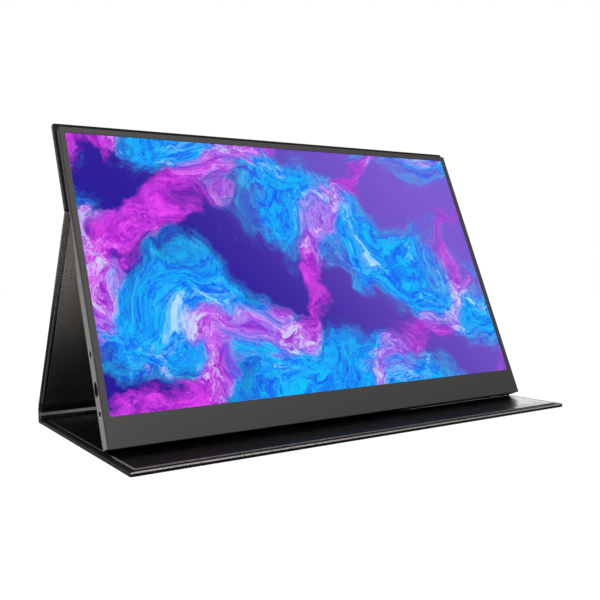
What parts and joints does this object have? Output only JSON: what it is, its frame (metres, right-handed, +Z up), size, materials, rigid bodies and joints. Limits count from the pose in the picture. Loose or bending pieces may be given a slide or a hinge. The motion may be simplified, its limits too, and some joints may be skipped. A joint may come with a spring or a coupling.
{
  "type": "portable monitor with folding cover",
  "caption": "Slim portable monitor standing in a folding cover: base, spine, strut and magnetic carrier panel turn on creases; the side menu dial rolls and presses, the power button presses.",
  "frame": {"origin": "middle of the underside of the base panel, on the table", "axes": "+X to the right seen from the front of the screen, along its width; +Y towards the rear spine; +Z up; the screen faces -Y, leaning back"},
  "size_m": [0.3578, 0.181, 0.2117],
  "materials": {
    "cover_leather": "fine-grained black imitation leather",
    "smooth_lining": "smooth semi-gloss black imitation leather",
    "textured_lining": "dark grey-brown lining with a fine diagonal cross-hatch",
    "stiffening_board": "grey-brown pressed board",
    "magnet": "nickel-plated",
    "housing_plastic": "fine matte grey",
    "bezel_plastic": "fine matte dark grey",
    "seam_plastic": "matte black",
    "screen_glass": "lit panel with a soft semi-gloss front film",
    "white_sheet": "white film",
    "clear_acrylic": "clear moulded acrylic",
    "lamp_yellow": "yellow lamp bodies on a strip",
    "pressed_metal": "bare pressed steel",
    "circuit_board": "green solder mask",
    "flat_cable": "pale flat cable",
    "chip_black": "moulded black packages",
    "socket_cream": "cream connector plastic",
    "socket_metal": "bright plated shell",
    "light_pipe": "clear moulded pipe",
    "switch_body": "dark switch body",
    "yoke_plastic": "black acetal",
    "dial_black": "black, toothed edge",
    "button_black": "satin black",
    "speaker_box": "black speaker box",
    "lead_red": "red insulated twin lead",
    "black_screw": "black oxide",
    "plated_screw": "zinc-plated"
  },
  "bodies": {
    "base": {"base_skin": "cover_leather", "base_board": "stiffening_board", "base_lining": "smooth_lining", "base_magnets": "magnet"},
    "spine": {"spine_skin": "cover_leather", "spine_board": "stiffening_board", "spine_lining": "smooth_lining"},
    "strut": {"strut_skin": "cover_leather", "strut_board": "stiffening_board", "strut_lining": "textured_lining"},
    "display": {"carrier_skin": "cover_leather", "carrier_board": "stiffening_board", "carrier_lining": "smooth_lining", "carrier_magnets": "magnet", "rear_housing": "housing_plastic", "mid_frame": "seam_plastic", "front_bezel": "bezel_plastic", "lcd_cell": "screen_glass", "diffuser_sheet": "white_sheet", "light_guide": "clear_acrylic", "led_strip": "lamp_yellow", "reflector_sheet": "white_sheet", "panel_tray": "pressed_metal", "driver_board": "circuit_board", "panel_cable": "flat_cable", "main_board": "circuit_board", "board_chips": "chip_black", "shield_can": "pressed_metal", "board_sockets": "socket_cream", "side_board": "circuit_board", "side_cable": "flat_cable", "usb_port_lower": "socket_metal", "usb_port_upper": "socket_metal", "hdmi_port": "socket_metal", "audio_jack": "socket_metal", "status_light": "light_pipe", "dial_switch": "switch_body", "button_switch": "switch_body", "speaker_left": "speaker_box", "speaker_right": "speaker_box", "speaker_leads": "lead_red", "steel_strips": "pressed_metal", "housing_screws": "black_screw", "board_screws": "plated_screw"},
    "dial_carrier": {"dial_carrier": "yoke_plastic"},
    "dial_wheel": {"dial_wheel": "dial_black"},
    "power_button": {"power_button": "button_black"}
  },
  "joints": [
    {"name": "spine_fold", "type": "hinge", "parent": "base", "child": "spine", "pos_m": [0, 0.0892, 0.00135], "axis": [-1, 0, 0], "range_deg": [0, 90]},
    {"name": "strut_fold", "type": "hinge", "parent": "spine", "child": "strut", "pos_m": [0, 0.0892, 0.01055], "axis": [-1, 0, 0], "range_deg": [0, 21.5]},
    {"name": "monitor_fold", "type": "hinge", "parent": "strut", "child": "display", "pos_m": [0, 0.01148, 0.14982], "axis": [1, 0, 0], "range_deg": [0, 43.1]},
    {"name": "dial_press", "type": "slide", "parent": "display", "child": "dial_carrier", "axis": [1, 0, 0], "range_m": [0, 0.0004], "stiffness_N_per_m": 800},
    {"name": "dial_roll", "type": "hinge", "parent": "dial_carrier", "child": "dial_wheel", "pos_m": [-0.1714, -0.0326, 0.03918], "axis": [0, -0.9298, 0.3681], "range_deg": [-15, 15], "stiffness_Nm_per_rad": 0.02},
    {"name": "button_press", "type": "slide", "parent": "display", "child": "power_button", "axis": [1, 0, 0], "range_m": [0, 0.0004], "stiffness_N_per_m": 800}
  ],
  "couplings": [
    {"joint": "strut_fold", "follows": "spine_fold", "ratio": 0.23738},
    {"joint": "monitor_fold", "follows": "spine_fold", "ratio": 0.47738}
  ]
}
